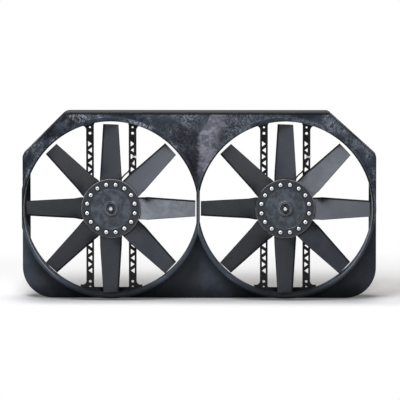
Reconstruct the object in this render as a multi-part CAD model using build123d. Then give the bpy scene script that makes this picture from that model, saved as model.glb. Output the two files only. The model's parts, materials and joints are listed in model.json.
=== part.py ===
from build123d import *
import math
import os

# Twin radiator cooling fan: one moulded shroud with two duct rings, two riveted eight-blade rotors,
# two permanent-magnet motors, and the truss straps that hang each motor behind its rotor.
# Everything is drawn as the engine side sees it: X to the right, Y up from the ground, Z towards the
# engine. stand() then turns the finished pieces so that Z is up and the engine side faces -Y.

# Rotor and duct
blade_sweep = 382.4
tip_gap = 4.9
fan_drop = 2.0
blade_count = 8

# Shroud tray
left_margin = 1.4
right_margin = 6.6
ring_bottom_gap = 4.3
ring_top_gap = 7.7
left_cut_width = 97.4
left_cut_height = 97.8
right_cut_width = 109.2
right_cut_height = 98.6
left_top_round = 22.0
left_side_round = 12.0
right_top_round = 13.0
right_side_round = 13.0
bottom_round = 70.0
wall = 3.0
deck_edge_round = 3.0
tray_depth = 58.0
side_flange = 15.8
top_flange = 14.0
bottom_flange = 17.0
flange_thickness = 3.4

# Duct rings
ring_depth = 46.0
ring_wall = 3.0
lip_width = 9.0
lip_skirt = 2.0
cove_round = 4.0
web_width = 7.4
web_cover = 3.3
web_drop = 0.8

# Foam strip on the radiator-side rim
seal_thickness = 6.0
seal_inset = 0.8
seal_hole_radius = 5.0

# Holes in the side flanges that fasten the shroud to the radiator
rim_hole_radius = 3.25
rim_hole_inset = 8.4
rim_hole_above_bottom = 90.0
rim_hole_below_top = 132.2

# Motor straps
strap_offset = 48.1
strap_width = 17.5
strap_thickness = 2.5
strap_rail = 4.5
truss_pitch = 14.45
truss_base = 12.2
upper_truss_start = 147.5
upper_truss_count = 7
lower_truss_start = -155.7
lower_truss_count = 7
strap_hole_small = 2.2
strap_hole_large = 3.1
top_hole_heights = (177.8, 164.2)
bottom_hole_heights = (-185.0, -173.1)
foot_half_width = 22.0
foot_height = 10.4
foot_show = 3.2
foot_fillet = 9.0
boss_radius = 4.6
boss_height = 8.0
boss_offset = 14.5
screw_radius = 2.0
screw_head_radius = 3.7
screw_head_height = 2.4
screw_depth = 7.0
fit_gap = 0.05

# Rotor hub
hub_radius = 67.0
hub_plate_thickness = 3.0
hub_face_height = 43.0
inner_disc_radius = 45.5
inner_disc_step = 0.6
boss_ring_outer = 17.0
boss_ring_inner = 10.8
boss_ring_height = 3.0
palm_thickness = 6.0
palm_inner_radius = 38.0
palm_gap = 1.6
back_plate_radius = 62.5
back_plate_thickness = 2.5
hub_sleeve_radius = 12.0
hub_sleeve_length = 3.5

# Rivets
rivet_circle = 54.7
rivet_head_radius = 4.4
rivet_head_height = 1.9
rivet_body_radius = 2.4
rivet_tail_radius = 3.5
rivet_tail_height = 3.0
rivet_well_radius = 6.1
rivet_well_depth = 0.9
rivet_bore_radius = 1.2
rivet_bore_depth = 1.1

# Blades
blade_root_width = 49.8
blade_tip_width = 34.7
blade_root_pitch = 33.0
blade_tip_pitch = 24.0
blade_root_thickness = 5.0
blade_tip_thickness = 2.8
blade_camber = 0.035
blade_edge = 1.2
blade_neck = 15.0

# Shaft and nut
shaft_radius = 4.0
shaft_end = 53.0
shoulder_radius = 6.0
nut_across_flats = 13.0
nut_height = 6.4
washer_outer_radius = 7.6
washer_thickness = 1.6
pin_radius = 1.5
pin_length = 20.0

# Motor
motor_radius = 38.5
motor_front = 24.0
motor_back = -34.0
can_wall = 2.0
bearing_outer = 11.0
bearing_width = 7.0
bearing_wall = 2.0
shaft_clearance = 0.04
end_bell_thickness = 2.5
magnet_thickness = 4.0
magnet_angle = 130.0
magnet_front = 14.0
magnet_back = -18.0
air_gap = 0.8
core_front = 12.0
core_back = -16.0
slot_count = 12
slot_width = 4.4
slot_depth = 14.0
coil_clearance = 0.2
coil_overhang = 5.5
commutator_radius = 12.0
commutator_front = -24.5
commutator_length = 6.5
brush_width = 5.0
brush_height = 6.0
brush_length = 12.0
brush_box_wall = 1.5
brush_slack = 0.1
spring_radius = 2.2
spring_wire = 0.9

# Motor bracket on the straps
bracket_thickness = 2.5
bracket_half_width = 57.0
bracket_half_height = 33.0
bracket_corner = 9.0
bracket_bolt_height = 24.0
bolt_radius = 2.5
bolt_across_flats = 8.0
bolt_head_height = 3.5
nut_flats = 8.0
bolt_nut_height = 4.0

# Motor lead, its grommet, tie and connector
lead_diameter = 3.4
lead_exit_angle = 72.0
lead_exit_height = 8.0
grommet_radius = 3.6
grommet_length = 6.0
tie_gap_index = 2
tie_width = 3.2
tie_thickness = 1.1
connector_width = 22.0
connector_height = 12.0
connector_depth = 9.6
way_offset = 3.0
way_depth = 9.0
lead_insert = 5.0
lead_end_x = 76.0
lead_end_below_top = 25.8

# Derived levels along the fan axis, with the part's whole depth centred on zero
whole_depth = ring_depth + tray_depth + seal_thickness
crest = whole_depth / 2
deck_front = crest - ring_depth
deck_back = deck_front - wall
rim_back = deck_front - tray_depth
strap_front = deck_back - boss_height
strap_back = strap_front - strap_thickness
palm_front = hub_face_height - hub_plate_thickness
palm_back = palm_front - palm_thickness
palm_middle = (palm_front + palm_back) / 2
back_plate_back = palm_back - back_plate_thickness
bracket_front = strap_front + bracket_thickness

# Derived radii and widths
duct_radius = blade_sweep / 2 + tip_gap
ring_outer = duct_radius + ring_wall
lip_radius = duct_radius + lip_width
foot_circle = duct_radius - foot_show
fan_spacing = 2 * (duct_radius - web_cover) + web_width
ring_height = lip_radius + ring_bottom_gap
fan_height = ring_height - fan_drop
tray_height = ring_height + lip_radius + ring_top_gap
left_side = -fan_spacing / 2 - ring_outer - left_margin
right_side = fan_spacing / 2 + ring_outer + right_margin
tip_cut = math.sqrt((blade_sweep / 2) ** 2 - (blade_tip_width / 2) ** 2)
truss_open = strap_width - 2 * strap_rail
lead_end_y = tray_height - fan_height - lead_end_below_top
brush_box_end = motor_radius - can_wall - 2.0
opposite = (0, 180)
fan_centres = {"left": -fan_spacing / 2, "right": fan_spacing / 2}


def stand(shape):
    """Turn a finished piece so that Z is up and the engine side faces -Y."""
    return Rot(90, 0, 0) * shape


def save(node, solids):
    """Write one sub-part, a single solid or a group of separate ones."""
    pieces = [stand(s) for s in solids]
    shape = pieces[0] if len(pieces) == 1 else Compound(pieces)
    export_step(shape, f"parts/{node}.step")


def solids_of(shape):
    """List the separate solids of a shape."""
    return list(shape.solids())


def disc(radius, low, high, x=0.0, y=0.0):
    """A plain cylinder along Z between two levels."""
    return Pos(x, y, (low + high) / 2) * Cylinder(radius, high - low)


def tube(outer, inner, low, high, x=0.0, y=0.0):
    """A plain tube along Z between two levels."""
    return disc(outer, low, high, x, y) - disc(inner, low - 1, high + 1, x, y)


def block(x0, x1, y0, y1, z0, z1):
    """A box from its limits."""
    centre = Pos((x0 + x1) / 2, (y0 + y1) / 2, (z0 + z1) / 2)
    return centre * Box(x1 - x0, y1 - y0, z1 - z0)


def rectangle(x0, x1, y0, y1):
    """A flat rectangle from its limits."""
    return Pos((x0 + x1) / 2, (y0 + y1) / 2) * Rectangle(x1 - x0, y1 - y0)


def hexagon(across_flats, low, high, x=0.0, y=0.0):
    """A hexagonal prism along Z."""
    face = Pos(x, y, low) * RegularPolygon(across_flats / 2, 6, major_radius=False)
    return extrude(face, high - low)


def turned(points):
    """Revolve a closed outline of (radius, level) points about the fan axis."""
    face = make_face(Plane.XZ * Polyline(*points, close=True))
    return revolve(face, Axis.Z)


def inset_polygon(points, insets):
    """Move each side of a convex outline inwards by its own distance."""
    count = len(points)
    lines = []
    for i, (x0, y0) in enumerate(points):
        x1, y1 = points[(i + 1) % count]
        length = math.hypot(x1 - x0, y1 - y0)
        nx = -(y1 - y0) / length
        ny = (x1 - x0) / length
        lines.append((nx, ny, nx * x0 + ny * y0 + insets[i]))
    corners = []
    for i in range(count):
        a0, b0, c0 = lines[i - 1]
        a1, b1, c1 = lines[i]
        det = a0 * b1 - a1 * b0
        corners.append(((c0 * b1 - c1 * b0) / det, (a0 * c1 - a1 * c0) / det))
    return corners


def tray_outline(bottom, side, cut, top):
    """The shroud's outline as a face, with each side moved inwards by its own distance."""
    corners = [
        (left_side, 0.0),
        (right_side, 0.0),
        (right_side, tray_height - right_cut_height),
        (right_side - right_cut_width, tray_height),
        (left_side + left_cut_width, tray_height),
        (left_side, tray_height - left_cut_height),
    ]
    rounds = [bottom_round, bottom_round, right_side_round, right_top_round, left_top_round, left_side_round]
    inner = inset_polygon(corners, [bottom, side, cut, top, cut, side])
    shrink = min(side, cut)
    radii = [max(r - shrink, 4.0) for r in rounds]
    return make_face(FilletPolyline(*inner, radius=radii, close=True))


def prism(face, low, high):
    """Extrude a face between two levels along Z."""
    return extrude(Pos(0, 0, low) * face, high - low)


def tray():
    """The open tray: face, side walls and the turned-in rim on the radiator side."""
    outside = prism(tray_outline(0, 0, 0, 0), rim_back, deck_front)
    front_edges = outside.faces().sort_by(Axis.Z)[-1].edges()
    outside = fillet(front_edges, deck_edge_round)
    hollow_face = tray_outline(wall, wall, wall, wall)
    hollow = prism(hollow_face, rim_back + flange_thickness, deck_back)
    rim_face = tray_outline(bottom_flange, side_flange, top_flange, top_flange)
    rim_opening = prism(rim_face, rim_back - 1, rim_back + flange_thickness + 1)
    return outside - hollow - rim_opening


def duct_ring():
    """One duct ring: a thin wall whose front edge rolls outwards into a half-round lip."""
    radius = lip_width / 2
    level = crest - radius
    middle = duct_radius + radius
    skirt = level - lip_skirt
    inner = lip_radius - ring_wall
    outline = [
        Line((duct_radius, deck_back), (duct_radius, level)),
        ThreePointArc((duct_radius, level), (middle, crest), (lip_radius, level)),
        Line((lip_radius, level), (lip_radius, skirt)),
        Line((lip_radius, skirt), (inner, skirt)),
        Line((inner, skirt), (inner, level)),
        ThreePointArc((inner, level), (middle, crest - ring_wall), (ring_outer, level)),
        Line((ring_outer, level), (ring_outer, deck_back)),
        Line((ring_outer, deck_back), (duct_radius, deck_back)),
    ]
    return revolve(make_face(Plane.XZ * (Curve() + outline)), Axis.Z)


def ring_cove():
    """The hollow fillet between a duct ring and the shroud's face."""
    inside = ring_outer - ring_wall / 2
    outside = ring_outer + cove_round
    low = deck_front - wall / 3
    high = deck_front + cove_round
    swing = cove_round * (1 - math.sqrt(0.5))
    outline = [
        Line((inside, low), (outside, low)),
        Line((outside, low), (outside, deck_front)),
        ThreePointArc(
            (outside, deck_front),
            (ring_outer + swing, deck_front + swing),
            (ring_outer, high),
        ),
        Line((ring_outer, high), (inside, high)),
        Line((inside, high), (inside, low)),
    ]
    return revolve(make_face(Plane.XZ * (Curve() + outline)), Axis.Z)


def ring_web():
    """The straight wall where the two duct rings meet, with its rounded crest just under the lips."""
    half = web_width / 2
    reach = math.sqrt(duct_radius ** 2 - (duct_radius - web_cover) ** 2) + ring_wall / 2
    level = crest - web_drop - half
    web = block(-half, half, -reach, reach, deck_back, level)
    return web + Pos(0, 0, level) * Rot(90, 0, 0) * Cylinder(half, 2 * reach)


def shroud():
    """The moulded shroud: tray, two duct rings that share a web, screw bosses and rim holes."""
    body = tray()
    for x in fan_centres.values():
        body -= disc(duct_radius + ring_wall / 3, deck_back, deck_front + 1, x, ring_height)
    inset = deck_edge_round * 0.7
    ring_limit = prism(tray_outline(0, 0, 0, 0), deck_back - 1, crest + 1)
    cove_limit = prism(tray_outline(inset, inset, inset, inset), deck_back, deck_front + cove_round + 1)
    for x, end in ((fan_centres["left"], left_side), (fan_centres["right"], right_side)):
        own_half = block(min(0, 2 * end), max(0, 2 * end), -wall, tray_height + wall, deck_back - 1, crest + 1)
        body += (Pos(x, ring_height, 0) * duct_ring()) & own_half & ring_limit
        body += (Pos(x, ring_height, 0) * ring_cove()) & own_half & cove_limit
    body += Pos(0, ring_height, 0) * ring_web()
    for x, y in boss_places():
        body += disc(boss_radius, strap_front, deck_back + wall / 2, x, y)
    for x, y in boss_places():
        body -= disc(screw_radius, strap_front - 1, strap_front + screw_depth, x, y)
    for x, y in rim_hole_places():
        body -= disc(rim_hole_radius, rim_back - 1, rim_back + flange_thickness + 1, x, y)
    return solids_of(body)


def strap_places():
    """Centre line of each strap, and the side of it on which its fan axis lies."""
    left, right = fan_centres["left"], fan_centres["right"]
    return {
        "left_outer_strap": (left - strap_offset, 1),
        "left_inner_strap": (left + strap_offset, -1),
        "right_inner_strap": (right - strap_offset, 1),
        "right_outer_strap": (right + strap_offset, -1),
    }


def foot_levels():
    """Height of the screws in the bottom and the top foot of a strap."""
    bottom = wall + fit_gap + foot_height / 2
    return bottom, tray_height - bottom


def boss_places():
    """Centres of the screw bosses behind the shroud's face."""
    places = []
    for x, _ in strap_places().values():
        for y in foot_levels():
            places += [(x - boss_offset, y), (x + boss_offset, y)]
    return places


def rim_hole_places():
    """Centres of the four holes in the side flanges."""
    columns = (left_side + rim_hole_inset, right_side - rim_hole_inset)
    rows = (rim_hole_above_bottom, tray_height - rim_hole_below_top)
    return [(x, y) for x in columns for y in rows]


def rim_seal():
    """Foam strip on the back of the rim, punched clear of the rim holes."""
    outer = tray_outline(seal_inset, seal_inset, seal_inset, seal_inset)
    inner = tray_outline(bottom_flange, side_flange, top_flange, top_flange)
    strip = prism(outer, rim_back - seal_thickness, rim_back)
    strip -= prism(inner, rim_back - seal_thickness - 1, rim_back + 1)
    for x, y in rim_hole_places():
        strip -= disc(seal_hole_radius, rim_back - seal_thickness - 1, rim_back + 1, x, y)
    return solids_of(strip)


def truss_triangle(base_side, middle):
    """One triangular cut-out with its upright side on the left (-1) or the right (1)."""
    half = truss_base / 2
    base_x = base_side * truss_open / 2
    points = [(base_x, middle - half), (base_x, middle + half), (-base_x, middle)]
    return prism(make_face(Polyline(*points, close=True)), strap_back - 1, strap_front + 1)


def strap(axis_side):
    """One motor strap about its own centre line, with level zero at the middle of the duct ring."""
    bottom, top = (y - ring_height for y in foot_levels())
    ends = (bottom - foot_height / 2, top + foot_height / 2)
    half = strap_width / 2
    root = math.sqrt(foot_circle ** 2 - (strap_offset + foot_half_width) ** 2) - 1.0
    feet = rectangle(-foot_half_width, foot_half_width, root, ends[1])
    feet += rectangle(-foot_half_width, foot_half_width, ends[0], -root)
    feet -= Pos(axis_side * strap_offset, 0) * Circle(foot_circle)
    face = rectangle(-half, half, ends[0], ends[1]) + feet
    inner_corners = []
    for corner in face.vertices():
        on_edge = abs(abs(corner.X) - half) < 0.01
        if on_edge and ends[0] + 1 < corner.Y < ends[1] - 1:
            inner_corners.append(corner)
    face = fillet(inner_corners, foot_fillet)
    body = prism(face, strap_back, strap_front)
    for i in range(upper_truss_count):
        middle = upper_truss_start - truss_pitch * (i + 0.5)
        body -= truss_triangle(-1 if i % 2 == 0 else 1, middle)
    for i in range(lower_truss_count):
        middle = lower_truss_start + truss_pitch * (i + 0.5)
        body -= truss_triangle(1 if i % 2 == 0 else -1, middle)
    for radius, y in (
        (strap_hole_small, top_hole_heights[0]),
        (strap_hole_large, top_hole_heights[1]),
        (strap_hole_small, bottom_hole_heights[0]),
        (strap_hole_large, bottom_hole_heights[1]),
    ):
        body -= disc(radius, strap_back - 1, strap_front + 1, 0, y)
    for x in (-boss_offset, boss_offset):
        for y in (bottom, top):
            body -= disc(screw_radius + fit_gap, strap_back - 1, strap_front + 1, x, y)
    for y in (-bracket_bolt_height, bracket_bolt_height):
        body -= disc(bolt_radius + fit_gap, strap_back - 1, strap_front + 1, 0, y - fan_drop)
    return body


def strap_screws():
    """Self-tapping screws that hold the strap feet to their bosses."""
    screws = []
    for x, y in boss_places():
        head = disc(screw_head_radius, strap_back - screw_head_height, strap_back, x, y)
        head = chamfer(head.edges().sort_by(Axis.Z)[0], 0.7)
        shank = disc(screw_radius - fit_gap, strap_back - 0.1, strap_front + screw_depth - 1, x, y)
        screws.append((head + shank).solids()[0])
    return screws


def blade_section(radius, width, pitch, thickness):
    """A cambered blade section across a radius, leading edge up and away from the engine side."""
    chord = width / math.cos(math.radians(pitch))
    half = chord / 2
    sag = blade_camber * chord
    edge = blade_edge / 2
    rise = thickness / 2
    outline = [
        Line((-half, -edge), (-half, edge)),
        ThreePointArc((-half, edge), (0, rise - sag), (half, edge)),
        Line((half, edge), (half, -edge)),
        ThreePointArc((half, -edge), (0, -rise - sag), (-half, -edge)),
    ]
    face = Rot(0, 0, -pitch) * make_face(Curve() + outline)
    plane = Plane(origin=(radius, 0, palm_middle), x_dir=(0, 1, 0), z_dir=(1, 0, 0))
    return plane * face


def blade_width(radius):
    """Width of a blade as the engine side sees it, a straight taper from hub edge to tip."""
    share = (radius - hub_radius) / (tip_cut - hub_radius)
    return blade_root_width + share * (blade_tip_width - blade_root_width)


def blade():
    """One moulded blade along +X: flat riveted palm, twisting neck and pitched cambered blade."""
    root = hub_radius + 0.5
    neck_end = root + blade_neck
    middle = (neck_end + tip_cut) / 2
    half_sector = math.tan(math.pi / blade_count)
    inner_half = palm_inner_radius * half_sector - palm_gap / 2
    shoulder = (blade_root_width / 2 + palm_gap / 2) / half_sector
    palm = make_face(
        Polyline(
            (palm_inner_radius, -inner_half),
            (shoulder, -blade_root_width / 2),
            (root, -blade_root_width / 2),
            (root, blade_root_width / 2),
            (shoulder, blade_root_width / 2),
            (palm_inner_radius, inner_half),
            close=True,
        )
    )
    body = prism(palm, palm_back, palm_front)
    root_plane = Plane(origin=(root, 0, palm_middle), x_dir=(0, 1, 0), z_dir=(1, 0, 0))
    flat = root_plane * Rectangle(blade_root_width, palm_thickness)
    neck = blade_section(neck_end, blade_width(neck_end), blade_root_pitch, blade_root_thickness)
    mid_pitch = (blade_root_pitch + blade_tip_pitch) / 2 - 1.0
    mid_thickness = (blade_root_thickness + blade_tip_thickness) / 2
    centre = blade_section(middle, blade_width(middle), mid_pitch, mid_thickness)
    tip = blade_section(tip_cut, blade_tip_width, blade_tip_pitch, blade_tip_thickness)
    body += loft([flat, neck], ruled=True)
    body += loft([neck, centre, tip])
    for angle in rivet_angles(1):
        x = rivet_circle * math.cos(math.radians(angle))
        y = rivet_circle * math.sin(math.radians(angle))
        body -= disc(rivet_body_radius + fit_gap, palm_back - 1, palm_front + 1, x, y)
    return body


def rivet_angles(blades):
    """Two rivets per blade, evenly spaced over the whole circle."""
    step = 360.0 / blade_count
    return [step * i + s * step / 4 for i in range(blades) for s in (-1, 1)]


def rivet_places():
    """Centres of all the rivets on the hub."""
    places = []
    for angle in rivet_angles(blade_count):
        turn = math.radians(angle)
        places.append((rivet_circle * math.cos(turn), rivet_circle * math.sin(turn)))
    return places


def blades():
    """All blades of one rotor, as separate solids."""
    one = blade()
    return [(Rot(0, 0, 360.0 / blade_count * i) * one).solids()[0] for i in range(blade_count)]


def hub_plate():
    """Front hub plate with a recessed rivet ring, a raised boss ring and wells round the rivets."""
    top = hub_face_height
    base = palm_front
    body = turned(
        [
            (shaft_radius + fit_gap, base),
            (hub_radius - 0.8, base),
            (hub_radius, base + 0.8),
            (hub_radius, top - 1.0),
            (hub_radius - 1.0, top),
            (inner_disc_radius + 1.0, top),
            (inner_disc_radius, top - inner_disc_step),
            (boss_ring_outer + 1.2, top - inner_disc_step),
            (boss_ring_outer, top + boss_ring_height - 1.0),
            (boss_ring_outer - 1.0, top + boss_ring_height),
            (boss_ring_inner + 0.8, top + boss_ring_height),
            (boss_ring_inner, top + boss_ring_height - 0.8),
            (boss_ring_inner, top),
            (shaft_radius + fit_gap, top),
        ]
    )
    for x, y in rivet_places():
        body -= disc(rivet_well_radius, top - rivet_well_depth, top + 1, x, y)
        body -= disc(rivet_body_radius + fit_gap, base - 1, top + 1, x, y)
    return solids_of(body)


def back_plate():
    """Rear hub plate with the slotted sleeve that the drive pin turns."""
    sleeve_end = back_plate_back - hub_sleeve_length
    body = turned(
        [
            (shaft_radius + fit_gap, sleeve_end),
            (hub_sleeve_radius, sleeve_end),
            (hub_sleeve_radius, back_plate_back),
            (back_plate_radius, back_plate_back),
            (back_plate_radius, palm_back),
            (shaft_radius + fit_gap, palm_back),
        ]
    )
    for x, y in rivet_places():
        body -= disc(rivet_body_radius + fit_gap, back_plate_back - 1, palm_back + 1, x, y)
    slot = pin_radius + fit_gap
    pin_level = sleeve_end + slot
    across = hub_sleeve_radius + 1
    body -= block(-across, across, -slot, slot, sleeve_end - 1, pin_level + slot)
    body += tube(boss_ring_inner, shaft_radius + fit_gap, palm_back, palm_front)
    return solids_of(body)


def rivets():
    """Pop rivets: domed head with a mandrel hole, body, and the tail pulled up behind."""
    well = hub_face_height - rivet_well_depth
    one = turned(
        [
            (0, well + rivet_head_height - rivet_bore_depth),
            (rivet_bore_radius, well + rivet_head_height - rivet_bore_depth),
            (rivet_bore_radius, well + rivet_head_height),
            (rivet_head_radius * 0.62, well + rivet_head_height * 0.86),
            (rivet_head_radius * 0.92, well + rivet_head_height * 0.42),
            (rivet_head_radius, well),
            (rivet_body_radius, well),
            (rivet_body_radius, back_plate_back),
            (rivet_tail_radius, back_plate_back),
            (rivet_tail_radius * 0.8, back_plate_back - rivet_tail_height),
            (0, back_plate_back - rivet_tail_height),
        ]
    )
    return [(Pos(x, y, 0) * one).solids()[0] for x, y in rivet_places()]


def shaft():
    """Motor shaft with a shoulder inside the motor and a cross hole for the drive pin."""
    body = disc(shaft_radius, rear_bearing_level()[0] - 0.5, shaft_end)
    body += disc(shoulder_radius, core_back, motor_front - bearing_width - 1.0)
    top_edge = body.edges().sort_by(Axis.Z)[-1]
    body = chamfer(top_edge, 0.8)
    body -= Pos(0, 0, drive_pin_level()) * Rot(0, 90, 0) * Cylinder(pin_radius + fit_gap, 3 * shaft_radius)
    return solids_of(body)


def drive_pin_level():
    """Level of the cross pin inside the sleeve's slot."""
    return back_plate_back - hub_sleeve_length + pin_radius + fit_gap


def drive_pin():
    """Cross pin that carries the torque from the shaft to the hub."""
    return solids_of(Pos(0, 0, drive_pin_level()) * Rot(0, 90, 0) * Cylinder(pin_radius, pin_length))


def lock_washer():
    """Split spring washer under the nut."""
    low = hub_face_height
    ring = tube(washer_outer_radius, shaft_radius + 0.3, low, low + washer_thickness)
    ring -= block(-0.5, 0.5, 0, washer_outer_radius + 1, low - 1, low + washer_thickness + 1)
    return solids_of(ring)


def shaft_nut():
    """Hexagon nut that clamps the hub to the shaft."""
    low = hub_face_height + washer_thickness
    top = low + nut_height
    half = nut_across_flats / 2
    nut = hexagon(nut_across_flats, low, top)
    nut -= disc(shaft_radius + fit_gap, low - 1, top + 1)
    bevel = turned([(0, low), (half + 1.6, low), (half + 1.6, top - 0.8), (half - 0.2, top), (0, top)])
    return solids_of(nut & bevel)


def front_bearing_level():
    """Back and front level of the front bearing."""
    return motor_front - bearing_width, motor_front


def rear_bearing_level():
    """Back and front level of the rear bearing."""
    front = motor_back - end_bell_thickness
    return front - bearing_width, front


def bearing(levels):
    """Ball bearing as one ring with a groove on each face between its races."""
    low, high = levels
    inner = shaft_radius + shaft_clearance
    middle = (bearing_outer + inner) / 2
    body = tube(bearing_outer - fit_gap, inner, low, high)
    body -= tube(middle + 1.5, middle - 1.5, high - 0.5, high + 1)
    body -= tube(middle + 1.5, middle - 1.5, low - 1, low + 0.5)
    return solids_of(body)


def motor_can():
    """Drawn steel can with the front bearing cup pressed outwards."""
    cup = bearing_outer + bearing_wall
    low = motor_front - bearing_width
    body = turned(
        [
            (shoulder_radius + 1.0, motor_front + bearing_wall),
            (cup, motor_front + bearing_wall),
            (cup, motor_front),
            (motor_radius - 3.0, motor_front),
            (motor_radius, motor_front - 3.0),
            (motor_radius, motor_back),
            (motor_radius - can_wall, motor_back),
            (motor_radius - can_wall, motor_front - 3.4),
            (motor_radius - 3.4, motor_front - can_wall),
            (cup, motor_front - can_wall),
            (cup, low),
            (bearing_outer, low),
            (bearing_outer, motor_front),
            (shoulder_radius + 1.0, motor_front),
        ]
    )
    grommet_hole = grommet_frame() * Cylinder(grommet_radius - 1.0 + fit_gap, 3 * can_wall)
    return solids_of(body - grommet_hole)


def grommet_frame():
    """Frame on the can's side wall where the lead leaves, its Z pointing out."""
    turn = math.radians(lead_exit_angle)
    outward = (math.cos(turn), math.sin(turn), 0)
    origin = (motor_radius * outward[0], motor_radius * outward[1], lead_exit_height)
    return Plane(origin=origin, x_dir=(0, 0, 1), z_dir=outward).location


def lead_grommet():
    """Rubber bush round the lead, gripping the can's wall with a flange each side."""
    inner = lead_diameter / 2 + fit_gap
    outer_part = Pos(0, 0, grommet_length / 4 + 0.4) * Cylinder(grommet_radius, grommet_length / 2)
    waist = Pos(0, 0, -can_wall / 2) * Cylinder(grommet_radius - 1.0, can_wall * 1.9)
    inner_part = Pos(0, 0, -can_wall - 1.2) * Cylinder(grommet_radius, 1.6)
    bush = outer_part + waist + inner_part
    bush -= Cylinder(inner, 6 * grommet_length)
    return solids_of(grommet_frame() * bush)


def motor_end_bell():
    """Rear cover with the rear bearing cup."""
    low, high = rear_bearing_level()
    cup = bearing_outer + bearing_wall
    body = turned(
        [
            (shaft_radius + 2.0, low - bearing_wall),
            (cup, low - bearing_wall),
            (cup, high),
            (motor_radius - 1.0, high),
            (motor_radius, high + 1.0),
            (motor_radius, motor_back),
            (bearing_outer, motor_back),
            (bearing_outer, low),
            (shaft_radius + 2.0, low),
        ]
    )
    return solids_of(body)


def motor_magnets():
    """Two curved ferrite magnets inside the can."""
    outer = motor_radius - can_wall - fit_gap
    inner = outer - magnet_thickness
    reach = 3 * outer
    half = math.radians(magnet_angle / 2)
    corner_x = reach * math.cos(half)
    corner_y = reach * math.sin(half)
    points = [(0, 0), (corner_x, corner_y), (-reach, 0), (corner_x, -corner_y)]
    wedge = prism(make_face(Polyline(*points, close=True)), magnet_back - 1, magnet_front + 1)
    one = (tube(outer, inner, magnet_back, magnet_front) - wedge).solids()[0]
    return [Rot(0, 0, turn) * one for turn in opposite]


def core_radius():
    """Radius of the armature, inside the magnets by the air gap."""
    return motor_radius - can_wall - fit_gap - magnet_thickness - air_gap


def slot_block(width, low, high, outer, inner):
    """A radial block along +X between two radii, for slots and coil sides."""
    return block(inner, outer, -width / 2, width / 2, low, high)


def armature_core():
    """Slotted laminated core on the shaft."""
    radius = core_radius()
    body = tube(radius, shoulder_radius + fit_gap, core_back, core_front)
    for i in range(slot_count):
        cut = slot_block(slot_width, core_back - 1, core_front + 1, radius + 1, radius - slot_depth)
        body -= Rot(0, 0, 360 / slot_count * i) * cut
    return solids_of(body)


def windings():
    """Copper coils: a side in each slot and a bundled ring of end turns at each end."""
    outer = core_radius() - 1.5
    inner = core_radius() - slot_depth + coil_clearance
    width = slot_width - 2 * coil_clearance
    low = core_back - coil_clearance
    high = core_front + coil_clearance
    body = tube(outer, inner, high, high + coil_overhang)
    body += tube(outer, inner, low - coil_overhang, low)
    for i in range(slot_count):
        side = slot_block(width, low - 1, high + 1, outer - 0.5, inner + 0.5)
        body += Rot(0, 0, 360 / slot_count * i) * side
    return solids_of(body)


def commutator():
    """Copper commutator on the shaft."""
    low = commutator_front - commutator_length
    body = tube(commutator_radius, shaft_radius + fit_gap, low, commutator_front)
    body += tube(commutator_radius + 1.5, commutator_radius - 2.0, commutator_front - 1.2, commutator_front)
    return solids_of(body)


def brush_level():
    """Level of the middle of the brushes on the commutator."""
    return commutator_front - 1.2 - (commutator_length - 1.2) / 2 - 0.4


def brush_holder():
    """Moulded ring against the end bell with two brush boxes."""
    body = tube(motor_radius - can_wall - 0.3, commutator_radius + 2.6, motor_back, motor_back + 2.0)
    start = commutator_radius + 3.0
    half_width = brush_width / 2
    half_height = brush_height / 2
    middle = brush_level()
    outside = half_width + brush_box_wall
    top = middle + half_height + brush_box_wall
    box = block(start, brush_box_end, -outside, outside, motor_back, top)
    across = half_width + brush_slack
    along = half_height + brush_slack
    window_end = brush_box_end - brush_box_wall
    window = block(start - 1, window_end, -across, across, middle - along, middle + along)
    for turn in opposite:
        body += Rot(0, 0, turn) * box
    for turn in opposite:
        body -= Rot(0, 0, turn) * window
    return solids_of(body)


def brushes():
    """Two carbon brushes, held against the commutator."""
    start = commutator_radius + fit_gap
    end = start + brush_length
    half_width = brush_width / 2
    half_height = brush_height / 2
    middle = brush_level()
    one = block(start, end, -half_width, half_width, middle - half_height, middle + half_height)
    one -= disc(start, middle - brush_height, middle + brush_height)
    return [(Rot(0, 0, turn) * one).solids()[0] for turn in opposite]


def brush_springs():
    """Outer form of the coil spring behind each brush."""
    start = commutator_radius + fit_gap + brush_length
    end = brush_box_end - brush_box_wall
    length = end - start
    one = Cylinder(spring_radius, length) - Cylinder(spring_radius - spring_wire, length + 2)
    one = Pos((start + end) / 2, 0, brush_level()) * Rot(0, 90, 0) * one
    return [(Rot(0, 0, turn) * one).solids()[0] for turn in opposite]


def motor_bracket():
    """Steel plate welded round the can, with an ear at each corner that bolts to a strap."""
    face = RectangleRounded(2 * bracket_half_width, 2 * bracket_half_height, bracket_corner)
    body = prism(face, strap_front, bracket_front)
    body += tube(motor_radius + fit_gap + 2.0, motor_radius + fit_gap, strap_front, bracket_front)
    body -= disc(motor_radius + fit_gap, strap_front - 1, bracket_front + 1)
    for x, y in bracket_bolt_places():
        body -= disc(bolt_radius + fit_gap, strap_front - 1, bracket_front + 1, x, y)
    return solids_of(body)


def bracket_bolt_places():
    """Centres of the four bolts through bracket and straps."""
    return [(sx * strap_offset, sy * bracket_bolt_height) for sx in (-1, 1) for sy in (-1, 1)]


def bracket_bolts():
    """Hexagon bolts through the bracket ears and the straps."""
    bolts = []
    for x, y in bracket_bolt_places():
        head = hexagon(bolt_across_flats, bracket_front, bracket_front + bolt_head_height, x, y)
        shank = disc(bolt_radius - fit_gap, strap_back - bolt_nut_height - 1.5, bracket_front + 0.1, x, y)
        bolts.append((head + shank).solids()[0])
    return bolts


def bracket_nuts():
    """Hexagon nuts behind the straps."""
    nuts = []
    for x, y in bracket_bolt_places():
        nut = hexagon(nut_flats, strap_back - bolt_nut_height, strap_back, x, y)
        nut -= disc(bolt_radius, strap_back - bolt_nut_height - 1, strap_back + 1, x, y)
        nuts.append(nut.solids()[0])
    return nuts


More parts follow.
